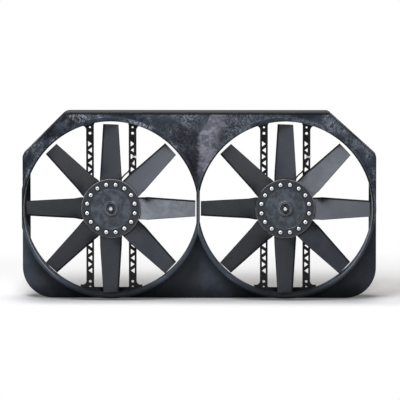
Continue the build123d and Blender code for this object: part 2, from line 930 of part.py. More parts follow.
def lead_route():
    """Corner points of the lead from the can's grommet, over the strap, to its connector."""
    turn = math.radians(lead_exit_angle)
    rest = strap_front + lead_diameter / 2 + 0.3
    start = motor_radius - can_wall
    end = lead_end_x + lead_insert
    return [
        (start * math.cos(turn), start * math.sin(turn), lead_exit_height),
        (17.6, 54.0, lead_exit_height),
        (27.0, 70.0, 5.4),
        (40.0, 80.6, 1.2),
        (strap_offset - 3.6, 92.0, rest),
        (strap_offset - 2.2, 98.5, rest),
        (strap_offset + 3.6, 107.0, rest),
        (strap_offset + 4.1, 122.0, rest),
        (strap_offset + 4.3, lead_end_y - 21.0, rest),
        (strap_offset + 10.0, lead_end_y - 6.0, rest),
        (lead_end_x - 6.5, lead_end_y, rest),
        (end, lead_end_y, rest),
    ]


def lead_radii(points):
    """Arc radius at each corner, as large as the two runs beside it allow."""
    radii = []
    for before, here, after in zip(points, points[1:], points[2:]):
        a = Vector(*here) - Vector(*before)
        b = Vector(*after) - Vector(*here)
        half_turn = math.radians(a.get_angle(b)) / 2
        radii.append(0.45 * min(a.length, b.length) / math.tan(half_turn))
    return radii


def motor_lead():
    """The motor's lead as one round tube along its route."""
    points = lead_route()
    radii = lead_radii(points)
    print("lead radii", [round(r, 1) for r in radii])
    path = FilletPolyline(*points, radius=radii)
    start = Plane(origin=path @ 0, z_dir=path % 0)
    body = sweep(start * Circle(lead_diameter / 2), path=path)
    print("lead volume share", round(body.volume / (math.pi * lead_diameter ** 2 / 4 * path.length), 4))
    return solids_of(body)


def cable_tie():
    """White tie round the lead and the strap's rail, through a triangular cut-out."""
    rest = strap_front + lead_diameter / 2 + 0.3
    x0 = strap_offset + strap_width / 2 - strap_rail - 4.4
    x1 = strap_offset + strap_width / 2 + 0.4
    z0 = strap_back - 0.4
    z1 = rest + lead_diameter / 2 + 0.4
    middle = fan_drop + upper_truss_start - truss_pitch * (tie_gap_index + 0.5)
    y0 = middle - tie_width / 2
    y1 = middle + tie_width / 2
    t = tie_thickness
    body = block(x0 - t, x1 + t, y0, y1, z0 - t, z1 + t) - block(x0, x1, y0 - 1, y1 + 1, z0, z1)
    body += block(x1 + t - 3.6, x1 + t, y0 - 0.8, y1 + 0.8, z1 + t - 0.2, z1 + t + 2.4)
    return solids_of(body)


def connector():
    """Two-way connector at the end of the lead, behind the top of the shroud."""
    end, y, z = lead_route()[-1]
    start = end - lead_insert
    mouth = start + connector_width
    housing = Box(connector_width, connector_height, connector_depth)
    housing = Pos((start + mouth) / 2, y, z) * fillet(housing.edges().filter_by(Axis.X), 1.6)
    bore = Cylinder(lead_diameter / 2 + fit_gap, 2 * lead_insert + 0.4)
    housing -= Pos(start, y, z) * Rot(0, 90, 0) * bore
    for side in (-1, 1):
        way = y + side * way_offset
        housing -= block(mouth - way_depth, mouth + 1, way - 1.9, way + 1.9, z - 2.6, z + 2.6)
    return solids_of(housing)


root_pieces = {
    "motor_can": motor_can,
    "motor_end_bell": motor_end_bell,
    "motor_magnets": motor_magnets,
    "brush_holder": brush_holder,
    "brushes": brushes,
    "brush_springs": brush_springs,
    "front_bearing": lambda: bearing(front_bearing_level()),
    "rear_bearing": lambda: bearing(rear_bearing_level()),
    "motor_bracket": motor_bracket,
    "bracket_bolts": bracket_bolts,
    "bracket_nuts": bracket_nuts,
    "lead_grommet": lead_grommet,
    "motor_lead": motor_lead,
    "cable_tie": cable_tie,
    "connector": connector,
}

rotor_pieces = {
    "blades": blades,
    "hub_plate": hub_plate,
    "back_plate": back_plate,
    "rivets": rivets,
    "shaft": shaft,
    "drive_pin": drive_pin,
    "lock_washer": lock_washer,
    "shaft_nut": shaft_nut,
    "armature_core": armature_core,
    "windings": windings,
    "commutator": commutator,
}

os.makedirs("parts", exist_ok=True)
save("shroud", shroud())
save("rim_seal", rim_seal())
for node, (centre, axis_side) in strap_places().items():
    save(node, solids_of(Pos(centre, ring_height, 0) * strap(axis_side)))
save("strap_screws", strap_screws())
for piece, make in {**root_pieces, **rotor_pieces}.items():
    made = make()
    for side, centre in fan_centres.items():
        save(f"{side}_{piece}", [Pos(centre, fan_height, 0) * s for s in made])
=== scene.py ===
"""Finish, light and camera for the twin radiator cooling fan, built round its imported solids."""

import json
import math

import bpy
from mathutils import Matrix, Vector


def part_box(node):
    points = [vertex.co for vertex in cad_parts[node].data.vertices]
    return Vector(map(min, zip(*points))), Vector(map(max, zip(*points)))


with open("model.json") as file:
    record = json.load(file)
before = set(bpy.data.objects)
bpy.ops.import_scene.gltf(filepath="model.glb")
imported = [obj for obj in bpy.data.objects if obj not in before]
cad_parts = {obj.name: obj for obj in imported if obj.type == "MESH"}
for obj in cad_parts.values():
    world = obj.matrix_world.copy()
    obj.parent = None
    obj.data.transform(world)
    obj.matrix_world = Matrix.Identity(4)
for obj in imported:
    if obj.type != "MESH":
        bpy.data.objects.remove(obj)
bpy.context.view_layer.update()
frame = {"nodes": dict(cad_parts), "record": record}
nodes = frame["nodes"]

# Camera: a long lens a little above the fan axes and a touch to the right, in metres and degrees
PIXEL_SIZE = 0.0022544
PICTURE_PIXELS = 400
SENSOR_WIDTH = 36.0
CAMERA_DISTANCE = 12.0
CAMERA_RISE = 6.5
CAMERA_TURN = 0.5
CAMERA_CLIP = (0.5, 60.0)
AIM_POINT = Vector((0.0043, -0.037, 0.2265))

# The fans as the finishes see them, in metres and radians: their axes, taken from the middle of
# the right hub to a tenth of a millimetre, then rivets and blades
hub_low, hub_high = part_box("right_hub_plate")
FAN_OFFSET, _, FAN_HEIGHT = (round(middle, 4) for middle in (hub_low + hub_high) / 2)
RIVET_CIRCLE = 0.0547
RIVET_COUNT = 16.0
BLADE_COUNT = 8.0
BLADE_PITCH = 0.56
BLADE_ROOT = 0.067
ROOT_HALF_WIDTH = 0.0249
BLADE_TAPER = 0.0617
FLAT_ROOT_END = 0.088

# Colours used in more than one place
WHITE = (1.0, 1.0, 1.0)
BLACK = (0.0, 0.0, 0.0)
# Dark lines and holes, and painted shade
INK_AND_SHADE = (0.003, 0.003, 0.004)
# Paler skin tone used for painted light and painted sheen on the shroud
LIT_SKIN = (0.055, 0.063, 0.083)
# Painted sheen at the shroud's top, and the painted highlight on top of the rings
PALE_SHEEN = (0.36, 0.375, 0.42)
# Painted light on the patch right of the middle
LIT_PATCH = (0.25, 0.245, 0.275)
LOWER_SKIN = (0.08, 0.092, 0.11)
TOP_STRIP = (0.05, 0.049, 0.05)
HUB_RING = (0.022, 0.026, 0.032)
# Painted highlights on the hubs, the web and the duct lips
HIGHLIGHT_LINE = (0.26, 0.27, 0.28)

# Kinds of group sockets
NUMBER = "NodeSocketFloat"
VECTOR = "NodeSocketVector"


def add_aimed(name, data, where, direction):
    """Put a camera or a lamp in the scene, looking along a direction."""
    thing = bpy.data.objects.new(name, data)
    thing.location = where
    thing.rotation_mode = "QUATERNION"
    thing.rotation_quaternion = direction.to_track_quat("-Z", "Y")
    bpy.context.scene.collection.objects.link(thing)
    return thing


def add_camera():
    """The photograph's camera: nearly parallel sight lines, aimed at the middle of the part."""
    turn, lift = math.radians(CAMERA_TURN), math.radians(CAMERA_RISE)
    level = math.cos(lift)
    back = Vector((math.sin(turn) * level, -math.cos(turn) * level, math.sin(lift)))
    data = bpy.data.cameras.new("camera")
    data.sensor_width = SENSOR_WIDTH
    data.lens = SENSOR_WIDTH * CAMERA_DISTANCE / (PIXEL_SIZE * PICTURE_PIXELS)
    data.clip_start, data.clip_end = CAMERA_CLIP
    where = AIM_POINT + back * CAMERA_DISTANCE
    bpy.context.scene.camera = add_aimed("camera", data, where, -back)


# Shader helpers: every value may be a socket or a plain number


def feed(socket, value):
    """Link a socket to another one, or set it to a plain number, colour or vector."""
    if isinstance(value, bpy.types.NodeSocket):
        socket.id_data.links.new(value, socket)
    elif socket.type == "RGBA":
        socket.default_value = (*value, 1.0)
    else:
        socket.default_value = value


def place(tree, kind, feeds=(), **settings):
    """Add a node, set its properties and feed its inputs, each found by name or number."""
    node = tree.nodes.new(kind)
    for key, value in settings.items():
        setattr(node, key, value)
    for key, value in dict(feeds).items():
        feed(node.inputs[key], value)
    return node


def compute(tree, operation, *values):
    """A math node on one or two values."""
    feeds = dict(enumerate(values))
    return place(tree, "ShaderNodeMath", feeds, operation=operation).outputs[0]


def chain(tree, operation, values):
    """Join any number of values by an operation on two."""
    result, *others = values
    for value in others:
        result = compute(tree, operation, result, value)
    return result


def product(tree, *values):
    """The product of several values; a plain 1.0 is left out."""
    return chain(tree, "MULTIPLY", [value for value in values if value != 1.0])


def most(tree, *values):
    """The largest of several values."""
    return chain(tree, "MAXIMUM", values)


def plus(tree, first, second):
    """The sum of two values."""
    return compute(tree, "ADD", first, second)


def less(tree, first, second):
    """The first value less the second."""
    return compute(tree, "SUBTRACT", first, second)


def length_of(tree, first, second):
    """Length of a flat vector from its two parts."""
    squares = [product(tree, part, part) for part in (first, second)]
    return compute(tree, "SQRT", plus(tree, *squares))


def spread(tree, value, low, high, to_low=0.0, to_high=1.0):
    """Map a value from one range to another, smoothly and clamped."""
    feeds = {"Value": value, "From Min": low, "From Max": high, "To Min": to_low, "To Max": to_high}
    node = place(tree, "ShaderNodeMapRange", feeds, interpolation_type="SMOOTHSTEP")
    return node.outputs["Result"]


def rise(tree, value, low, high):
    """Zero below a range of a value and one above it."""
    return spread(tree, value, low, high)


def fall(tree, value, low, high):
    """One below a range of a value and zero above it."""
    return spread(tree, value, low, high, 1.0, 0.0)


def around(tree, end, soft):
    """The two ends of a soft step round a limit."""
    if isinstance(end, bpy.types.NodeSocket):
        return less(tree, end, soft), plus(tree, end, soft)
    return end - soft, end + soft


def band(tree, value, low, high, soft):
    """One between two limits of a value, zero outside them."""
    inside = rise(tree, value, *around(tree, low, soft))
    return product(tree, inside, fall(tree, value, *around(tree, high, soft)))


def blend(tree, factor, first, second):
    """Mix two colours by a factor."""
    feeds = {0: factor, 6: first, 7: second}
    return place(tree, "ShaderNodeMix", feeds, data_type="RGBA", clamp_factor=True).outputs[2]


def blend_normals(tree, factor, first, second):
    """Mix two vectors by a factor."""
    feeds = {0: factor, 4: first, 5: second}
    return place(tree, "ShaderNodeMix", feeds, data_type="VECTOR").outputs[1]


def noise(tree, where, scale, detail=3.0, roughness=0.55, distortion=0.0):
    """A noise texture's value."""
    feeds = {"Vector": where, "Scale": scale, "Detail": detail, "Roughness": roughness,
             "Distortion": distortion}
    return place(tree, "ShaderNodeTexNoise", feeds).outputs["Fac"]


def here(tree):
    """The object coordinates, which are the frame's own at rest and turn with the rotors."""
    return place(tree, "ShaderNodeTexCoord").outputs["Object"]


def parts_of(tree, vector):
    """The three parts of a vector."""
    return place(tree, "ShaderNodeSeparateXYZ", {0: vector}).outputs


def turned(tree, normal, source, target):
    """A normal changed from one set of axes to another, of the object or of the world."""
    return place(tree, "ShaderNodeVectorTransform", {0: normal}, vector_type="NORMAL",
                 convert_from=source, convert_to=target).outputs[0]


def effect_group(name, inputs, outputs):
    """An empty shared effect: its tree, what it is given and what it gives back, by name."""
    tree = bpy.data.node_groups.new(name, "ShaderNodeTree")
    for label, value in inputs.items():
        kind = VECTOR if isinstance(value, tuple) else NUMBER
        socket = tree.interface.new_socket(name=label, in_out="INPUT", socket_type=kind)
        socket.default_value = value
    for label, kind in outputs.items():
        tree.interface.new_socket(name=label, in_out="OUTPUT", socket_type=kind)
    return tree, place(tree, "NodeGroupInput").outputs, place(tree, "NodeGroupOutput").inputs


def use_group(tree, group, values=()):
    """Place a shared effect with its own values and return its outputs."""
    return place(tree, "ShaderNodeGroup", values, node_tree=group).outputs


# Shared effects

NOISE_MIDDLE = 0.5

# Edges: samples, the share of "Full At" where a line sets in, and the noise that breaks it up
BEVEL_SAMPLES = 4
EDGE_START = 0.1
EDGE_NOISE = 120.0
EDGE_PATCHES = (0.35, 0.75)

# Mottle: how much finer its second noise is, and how much of it is added to the first
FINE_RATIO = 7.0
FINE_SHARE = 0.35

# Streaks: the noise that breaks the lines up
GAP_NOISE = 14.0
GAP_RANGE = (0.42, 0.62)

# Blades: where the pitched facing fades near the end of the flat root, its shares before and
# after that, and how far forwards a face has to point to have it
ROOT_BEFORE = 0.008
ROOT_AFTER = 0.03
ROOT_SHARES = (1.0, 0.4)
BLADE_FRONT = (-0.14, -0.03)

# Duct lips: their soft limits in radius and depth, how far up a raised face points, and how far
# off the front and the back a curled one does, at the very front of the ring
FRONT = (0.0, -1.0, 0.0)
LIP_SOFT = 0.0006
LIP_STEP = 0.004
LIP_RAISED = (0.0, 0.25)
OFF_FRONT = (-0.98, -0.85)
OFF_BACK = (-0.1, 0.1)
CURL_DEPTH = (-0.048, -0.044)
CURL_SHARE = 0.7


def edge_group():
    """Mask of sharp edges, where a rounded normal leaves the true one, whole or broken by noise."""
    tree, given, result = effect_group(
        "edge",
        {"Radius": 0.0008, "Amount": 0.4, "Evenness": 0.0, "Full At": 0.2},
        {"Mask": NUMBER},
    )
    bevel = place(tree, "ShaderNodeBevel", {"Radius": given["Radius"]}, samples=BEVEL_SAMPLES)
    surface = place(tree, "ShaderNodeNewGeometry")
    normals = {0: bevel.outputs["Normal"], 1: surface.outputs["Normal"]}
    dot = place(tree, "ShaderNodeVectorMath", normals, operation="DOT_PRODUCT")
    away = less(tree, 1.0, dot.outputs["Value"])
    start = product(tree, given["Full At"], EDGE_START)
    edge = rise(tree, away, start, given["Full At"])
    patches = rise(tree, noise(tree, here(tree), EDGE_NOISE), *EDGE_PATCHES)
    cover = most(tree, patches, given["Evenness"])
    feed(result["Mask"], product(tree, edge, cover, given["Amount"]))
    return tree


def mottle_group():
    """Cloudy light and dark patches of a moulded or coated surface."""
    tree, given, result = effect_group(
        "mottle", {"Size": 9.0, "Low": 0.4, "High": 0.7}, {"Mask": NUMBER}
    )
    where = here(tree)
    big = noise(tree, where, given["Size"], detail=2.0, roughness=0.5, distortion=0.4)
    fine_size = product(tree, given["Size"], FINE_RATIO)
    small = noise(tree, where, fine_size, detail=4.0, roughness=0.6, distortion=0.8)
    fine = product(tree, less(tree, small, NOISE_MIDDLE), FINE_SHARE)
    feed(result["Mask"], rise(tree, plus(tree, big, fine), given["Low"], given["High"]))
    return tree


def streak_group():
    """Thin curly light lines of a rubbed skin: the level lines of a twisted noise."""
    tree, given, result = effect_group(
        "curly streaks", {"Size": 22.0, "Twist": 2.5, "Width": 0.03}, {"Mask": NUMBER}
    )
    where = here(tree)
    value = noise(tree, where, given["Size"], roughness=0.6, distortion=given["Twist"])
    off_level = compute(tree, "ABSOLUTE", less(tree, value, NOISE_MIDDLE))
    line = fall(tree, off_level, 0.0, given["Width"])
    gaps = rise(tree, noise(tree, where, GAP_NOISE, detail=2.0), *GAP_RANGE)
    feed(result["Mask"], product(tree, line, gaps))
    return tree


def grain_group():
    """Height and slow variation of a fine moulded or painted skin."""
    tree, given, result = effect_group(
        "skin grain",
        {"Size": 900.0, "Waves": 30.0, "Wave Share": 0.5},
        {"Height": NUMBER, "Value": NUMBER},
    )
    where = here(tree)
    fine = noise(tree, where, given["Size"], detail=2.0, roughness=0.6)
    wave = noise(tree, where, given["Waves"], roughness=0.5, distortion=0.6)
    feed(result["Height"], plus(tree, fine, product(tree, wave, given["Wave Share"])))
    feed(result["Value"], wave)
    return tree


def tool_marks_group():
    """Height of fine parallel or round tool marks in bare metal."""
    tree, given, result = effect_group(
        "tool marks", {"Stretch": (1.0, 1.0, 1.0), "Size": 700.0}, {"Height": NUMBER}
    )
    moved = place(tree, "ShaderNodeMapping", {"Vector": here(tree), "Scale": given["Stretch"]})
    marks = noise(tree, moved.outputs["Vector"], given["Size"], roughness=0.6)
    feed(result["Height"], marks)
    return tree


def fan_place_group():
    """Where a point lies about the nearer fan axis, and how far it is from the nearest rivet."""
    tree, given, result = effect_group(
        "fan place",
        {"Fan Offset": FAN_OFFSET, "Fan Height": FAN_HEIGHT, "Rivet Circle": RIVET_CIRCLE,
         "Rivets": RIVET_COUNT},
        dict.fromkeys(("Radius", "Across", "Up", "Depth", "Off Rivet"), NUMBER),
    )
    x, y, z = parts_of(tree, here(tree))
    across = less(tree, compute(tree, "ABSOLUTE", x), given["Fan Offset"])
    up = less(tree, z, given["Fan Height"])
    radius = length_of(tree, across, up)
    step = compute(tree, "DIVIDE", math.tau, given["Rivets"])
    angle = plus(tree, compute(tree, "ARCTAN2", up, across), math.tau)
    folded = less(tree, compute(tree, "MODULO", angle, step), product(tree, step, 0.5))
    sideways = product(tree, folded, radius)
    outwards = less(tree, radius, given["Rivet Circle"])
    feed(result["Radius"], radius)
    feed(result["Across"], across)
    feed(result["Up"], up)
    feed(result["Depth"], y)
    feed(result["Off Rivet"], length_of(tree, sideways, outwards))
    return tree


def blade_place_group():
    """A pitched blade's facing, carried on over its flat root, and how far in its edges lie."""
    tree, given, result = effect_group(
        "blade place",
        {"Fan Offset": FAN_OFFSET, "Fan Height": FAN_HEIGHT, "Pitch": BLADE_PITCH,
         "Blades": BLADE_COUNT, "End": FLAT_ROOT_END, "Root Half Width": ROOT_HALF_WIDTH,
         "Taper": BLADE_TAPER},
        {"Normal": VECTOR, "Off Leading": NUMBER, "Off Trailing": NUMBER},
    )
    x, _, z = parts_of(tree, here(tree))
    across = less(tree, x, product(tree, compute(tree, "SIGN", x), given["Fan Offset"]))
    up = less(tree, z, given["Fan Height"])

    # The blade's own angle, and the place along it and off its middle line
    step = compute(tree, "DIVIDE", math.tau, given["Blades"])
    angle = plus(tree, compute(tree, "ARCTAN2", up, across), product(tree, step, 0.5))
    angle = compute(tree, "SNAP", angle, step)
    cosine, sine = compute(tree, "COSINE", angle), compute(tree, "SINE", angle)
    along = plus(tree, product(tree, across, cosine), product(tree, up, sine))
    off = less(tree, product(tree, up, cosine), product(tree, across, sine))
    past_root = most(tree, less(tree, along, BLADE_ROOT), 0.0)
    half = less(tree, given["Root Half Width"], product(tree, past_root, given["Taper"]))
    feed(result["Off Leading"], less(tree, half, off))
    feed(result["Off Trailing"], plus(tree, half, off))

    # The pitched facing, mixed in on the front over the root and a little beyond it
    lean = compute(tree, "SINE", given["Pitch"])
    facing = place(tree, "ShaderNodeCombineXYZ", {
        0: product(tree, sine, lean, -1.0),
        1: product(tree, compute(tree, "COSINE", given["Pitch"]), -1.0),
        2: product(tree, cosine, lean),
    }).outputs[0]
    near = spread(tree, length_of(tree, across, up), less(tree, given["End"], ROOT_BEFORE),
                  plus(tree, given["End"], ROOT_AFTER), *ROOT_SHARES)
    surface = place(tree, "ShaderNodeNewGeometry").outputs
    to_back = parts_of(tree, turned(tree, surface["True Normal"], "WORLD", "OBJECT"))[1]
    share = product(tree, near, fall(tree, to_back, *BLADE_FRONT))
    facing = turned(tree, facing, "OBJECT", "WORLD")
    feed(result["Normal"], blend_normals(tree, share, surface["Normal"], facing))
    return tree


def lip_facing_group():
    """The facing of the duct lips, with upper and curled-in faces turned part way to the front."""
    tree, given, result = effect_group(
        "lip facing",
        {"Inside": 0.1955, "Outside": 0.209, "Front": -0.012, "Share": 0.85},
        {"Normal": VECTOR},
    )
    spot = use_group(tree, FAN_PLACE)
    ring = band(tree, spot["Radius"], given["Inside"], given["Outside"], LIP_SOFT)
    ahead = fall(tree, spot["Depth"], less(tree, given["Front"], LIP_STEP), given["Front"])
    normal = place(tree, "ShaderNodeNewGeometry").outputs["Normal"]
    _, to_back, to_top = parts_of(tree, turned(tree, normal, "WORLD", "OBJECT"))
    raised = spread(tree, to_top, *LIP_RAISED, 0.0, given["Share"])
    sideways = product(tree, rise(tree, to_back, *OFF_FRONT), fall(tree, to_back, *OFF_BACK))
    curled = product(tree, sideways, fall(tree, spot["Depth"], *CURL_DEPTH), CURL_SHARE)
    share = product(tree, most(tree, raised, curled), ring, ahead)
    mixed = blend_normals(tree, share, normal, turned(tree, FRONT, "OBJECT", "WORLD"))
    unit = place(tree, "ShaderNodeVectorMath", {0: mixed}, operation="NORMALIZE")
    feed(result["Normal"], unit.outputs[0])
    return tree


EDGE = edge_group()
MOTTLE = mottle_group()
STREAKS = streak_group()
GRAIN = grain_group()
TOOL_MARKS = tool_marks_group()
FAN_PLACE = fan_place_group()
BLADE_PLACE = blade_place_group()
LIP_FACING = lip_facing_group()


# Surfaces

# A noise's usual range, over which a roughness goes from its first value to its second
NOISE_RANGE = (0.3, 0.7)
# Edge values for a line that is drawn whole
WHOLE_LINE = {"Evenness": 1.0, "Full At": 0.03}
METAL_PATCHES = {"Size": 40.0, "Low": 0.35, "High": 0.75}
METAL_BUMP = (0.15, 0.0001)


def new_surface(name, plain):
    """A material, its tree and its shader's inputs, with constant values set on the inputs."""
    material = bpy.data.materials.new(name)
    material.use_nodes = True
    inputs = material.node_tree.nodes["Principled BSDF"].inputs
    for label, value in plain.items():
        inputs[label].default_value = value
    return material, material.node_tree, inputs


def add_relief(tree, inputs, height, bump, normal=None):
    """Bump the surface by a height, on top of a given normal if there is one."""
    strength, distance = bump
    feeds = {"Strength": strength, "Distance": distance, "Height": height}
    if normal:
        feeds["Normal"] = normal
    feed(inputs["Normal"], place(tree, "ShaderNodeBump", feeds).outputs["Normal"])


def finish(name, colour, patch, edge, rough=(0.4, 0.55), specular=0.5, bump=(0.2, 0.0002),
           mottle=(), grain=(), edge_lines=(), paint=None, facing=None, matt=None):
    """One surface finish: two colours in patches, edge lines, extra painting, grain and gloss."""
    material, tree, inputs = new_surface(name, {"Specular IOR Level": specular})
    tone = blend(tree, use_group(tree, MOTTLE, mottle)["Mask"], colour, patch)
    if paint:
        tone = paint(tree, tone)
    feed(inputs["Base Color"], blend(tree, use_group(tree, EDGE, edge_lines)["Mask"], tone, edge))
    skin = use_group(tree, GRAIN, grain)
    roughness = spread(tree, skin["Value"], *NOISE_RANGE, *rough)
    if matt:
        roughness = most(tree, roughness, matt(tree))
    feed(inputs["Roughness"], roughness)
    normal = use_group(tree, facing)["Normal"] if facing else None
    add_relief(tree, inputs, skin["Height"], bump, normal)
    return material


def bare_metal(name, colour, patch, stretch, rough=(0.25, 0.4), metal=1.0, paint=None):
    """Uncoated metal with tool marks drawn out along the axes where the stretch is small."""
    material, tree, inputs = new_surface(name, {"Metallic": metal})
    marks = use_group(tree, TOOL_MARKS, {"Stretch": stretch})["Height"]
    tone = blend(tree, use_group(tree, MOTTLE, METAL_PATCHES)["Mask"], colour, patch)
    if paint:
        tone = paint(tree, tone)
    feed(inputs["Base Color"], tone)
    feed(inputs["Roughness"], spread(tree, marks, *NOISE_RANGE, *rough))
    add_relief(tree, inputs, marks, METAL_BUMP)
    return material


# Painting that depends on the place on the part

# A mark is a colour, its share, and the ranges that all have to hold: the name of a place, the
# form of the range and its limits in metres, for a band with the softness of its limits last.
# X and Off Middle run from the part's middle, Z from the floor, Radius, Across and Up from the
# nearer fan's axis, Off Rivet from the nearest rivet, and Depth towards the back.
SHROUD_MARKS = (
    # Painted shade left of the middle, beside the patch of painted light
    (INK_AND_SHADE, 0.7, ("X", band, -0.05, 0.0, 0.01), ("Z", band, 0.27, 0.385, 0.02)),
    # Paler skin low down; then painted light round the lower foot of the rings, where they shade
    # the front face, and right of the web
    (LOWER_SKIN, 0.45, ("Z", fall, 0.12, 0.26), ("Z", rise, 0.0, 0.05)),
    (LIT_SKIN, 0.35, ("Radius", band, 0.207, 0.222, 0.003), ("Z", fall, 0.2, 0.28)),
    (LIT_SKIN, 0.45, ("X", rise, -0.004, 0.006), ("X", fall, 0.03, 0.1),
     ("Z", band, 0.05, 0.17, 0.03)),
    # Shade along the bottom edge
    (INK_AND_SHADE, 0.8, ("Z", fall, 0.0, 0.045)),
    # Painted shade as an outline where the rings stand up from the front face, in the upper part
    (INK_AND_SHADE, 1.0, ("Depth", band, -0.0086, -0.0055, 0.0003), ("Radius", rise, 0.2003, 0.2008),
     ("Z", rise, 0.30, 0.32)),
    # The top face, and a line of painted shade along its front edge
    (TOP_STRIP, 1.0, ("Z", rise, 0.4188, 0.4196)),
    (INK_AND_SHADE, 1.0, ("Z", rise, 0.4164, 0.4174), ("Depth", fall, -0.0058, -0.0050)),
    # Painted shade on the lips at the bottom, and along the inner edges elsewhere but on the web
    # and at the top, where the duct's inner wall is in shade
    (INK_AND_SHADE, 0.8, ("Radius", band, 0.1930, 0.2065, 0.0005), ("Up", fall, -0.192, -0.155)),
    (INK_AND_SHADE, 1.0, ("Radius", band, 0.1950, 0.2004, 0.0004), ("Off Middle", rise, 0.0012, 0.0030),
     ("Up", band, -0.04, 0.17, 0.012)),
    # Painted highlights: a line on the web's crest, lines at the lips' inner edges at the outer
    # sides of the rings, and on top of them
    (HIGHLIGHT_LINE, 0.45, ("X", band, -0.0006, 0.0024, 0.0004), ("Z", band, 0.14, 0.245, 0.03)),
    (HIGHLIGHT_LINE, 0.8, ("Radius", band, 0.1955, 0.1973, 0.0004), ("Up", band, -0.15, 0.10, 0.02),
     ("Across", rise, 0.10, 0.13)),
    (PALE_SHEEN, 0.7, ("Radius", band, 0.1950, 0.1990, 0.0004), ("Up", rise, 0.17, 0.19)),
)
BLADE_MARKS = (
    # Shade where each blade comes out from under the hub
    (INK_AND_SHADE, 0.6, ("Radius", fall, 0.067, 0.073)),
)
HUB_MARKS = (
    # The darker ring that holds the rivets, and the wells round them
    (HUB_RING, 0.85, ("Radius", rise, 0.0445, 0.0465)),
    (INK_AND_SHADE, 1.0, ("Off Rivet", fall, 0.0062, 0.0074)),
)
RIVET_MARKS = (
    # The mandrel hole and the shaded foot
    (INK_AND_SHADE, 0.9, ("Off Rivet", fall, 0.0012, 0.0017)),
    (INK_AND_SHADE, 0.6, ("Off Rivet", rise, 0.0039, 0.0044)),
)

# Mottle and streaks at the top of the shroud, the pale ones painted sheen: most at the outer
# corners, less between, least to the right
SHEEN_HEIGHT = (0.24, 0.34)
SHEEN_CORNERS = (-0.05, 0.12)
SHEEN_END = (0.33, 0.41, 0.01)
SHEEN_END_SHARE = 0.6
SHEEN_LEAST = 0.5
SHEEN_WIDTH = (-0.3, 0.32)
SHEEN_SHARES = (1.25, 0.6)
# Layers: the pale mottle and streaks are painted sheen, and the dark mottle is pitting
MOTTLE_AND_SHEEN_LAYERS = (
    (MOTTLE, {"Size": 30.0, "Low": 0.46, "High": 0.66}, 0.5, LIT_SKIN),
    (MOTTLE, {"Size": 55.0, "Low": 0.42, "High": 0.6}, 0.75, INK_AND_SHADE),
    (STREAKS, {"Size": 24.0, "Twist": 2.5, "Width": 0.037}, 1.0, PALE_SHEEN),
    (STREAKS, {"Size": 60.0, "Twist": 3.5, "Width": 0.05}, 1.0, PALE_SHEEN),
)

# Patch of painted light right of the middle: frayed left edge, which leans to the right above a
# height
PATCH_LEAN_FROM = 0.365
PATCH_LEAN = 0.4
PATCH_FRAY = 0.012
PATCH_LEFT = (-0.002, 0.005)
PATCH_RIGHT = (0.02, 0.06)
PATCH_FOOT = (0.25, 0.31)
PATCH_CLOUD_SHARES = (0.35, 0.95)
PATCH_WISP_SHARE = 0.5
FRAYED_EDGE = {"Size": 16.0, "Low": 0.3, "High": 0.7}
PATCH_CLOUD = {"Size": 75.0, "Low": 0.36, "High": 0.62}
PATCH_WISPS = {"Size": 70.0, "Twist": 3.0, "Width": 0.08}

# Dark lines in from a blade's edges
LEADING_LINE = (0.0026, 0.0050)
TRAILING_LINE = (0.0004, 0.0016)
TRAILING_SHARE = 0.9

# Broken lines of painted highlight round a hub, where its edges catch the light: inner radius,
# outer radius and share
HUB_HIGHLIGHTS = ((0.0655, 0.0668, 0.7), (0.0158, 0.0172, 0.4), (0.0120, 0.0132, 0.6))
HUB_HIGHLIGHT_SOFT = 0.0003
HUB_HIGHLIGHT_BREAKS = {"Size": 30.0, "Low": 0.3, "High": 0.5}


def paint_marks(tree, tone, places, marks):
    """Paint one mark after the other over a colour."""
    for colour, share, *ranges in marks:
        masks = [form(tree, places[name], *limits) for name, form, *limits in ranges]
        tone = blend(tree, product(tree, *masks, share), tone, colour)
    return tone


def paint_mottle_and_sheen(tree, tone, places):
    """Cloudy, pitted skin at the top, with pale mottle and streaks of painted sheen."""
    upper = rise(tree, places["Z"], *SHEEN_HEIGHT)
    corner = product(tree, rise(tree, places["Across"], *SHEEN_CORNERS), upper)
    right_end = product(tree, band(tree, places["X"], *SHEEN_END), SHEEN_END_SHARE)
    zone = most(tree, corner, right_end, product(tree, upper, SHEEN_LEAST))
    zone = product(tree, zone, spread(tree, places["X"], *SHEEN_WIDTH, *SHEEN_SHARES))
    for group, values, share, colour in MOTTLE_AND_SHEEN_LAYERS:
        cover = use_group(tree, group, values)["Mask"]
        tone = blend(tree, product(tree, cover, zone, share), tone, colour)
    return tone


def paint_lit_patch(tree, tone, places):
    """A cloudy patch of painted light with wisps, just right of the middle."""
    x, z = places["X"], places["Z"]
    lean = product(tree, most(tree, less(tree, z, PATCH_LEAN_FROM), 0.0), PATCH_LEAN)
    fray = less(tree, use_group(tree, MOTTLE, FRAYED_EDGE)["Mask"], NOISE_MIDDLE)
    past = less(tree, plus(tree, x, product(tree, fray, PATCH_FRAY)), lean)
    side = product(tree, rise(tree, past, *PATCH_LEFT), fall(tree, past, *PATCH_RIGHT))
    cloud = use_group(tree, MOTTLE, PATCH_CLOUD)["Mask"]
    patch = product(tree, side, rise(tree, z, *PATCH_FOOT),
                    spread(tree, cloud, 0.0, 1.0, *PATCH_CLOUD_SHARES))
    tone = blend(tree, patch, tone, LIT_PATCH)
    wisps = use_group(tree, STREAKS, PATCH_WISPS)["Mask"]
    return blend(tree, product(tree, wisps, side, PATCH_WISP_SHARE), tone, LIT_SKIN)


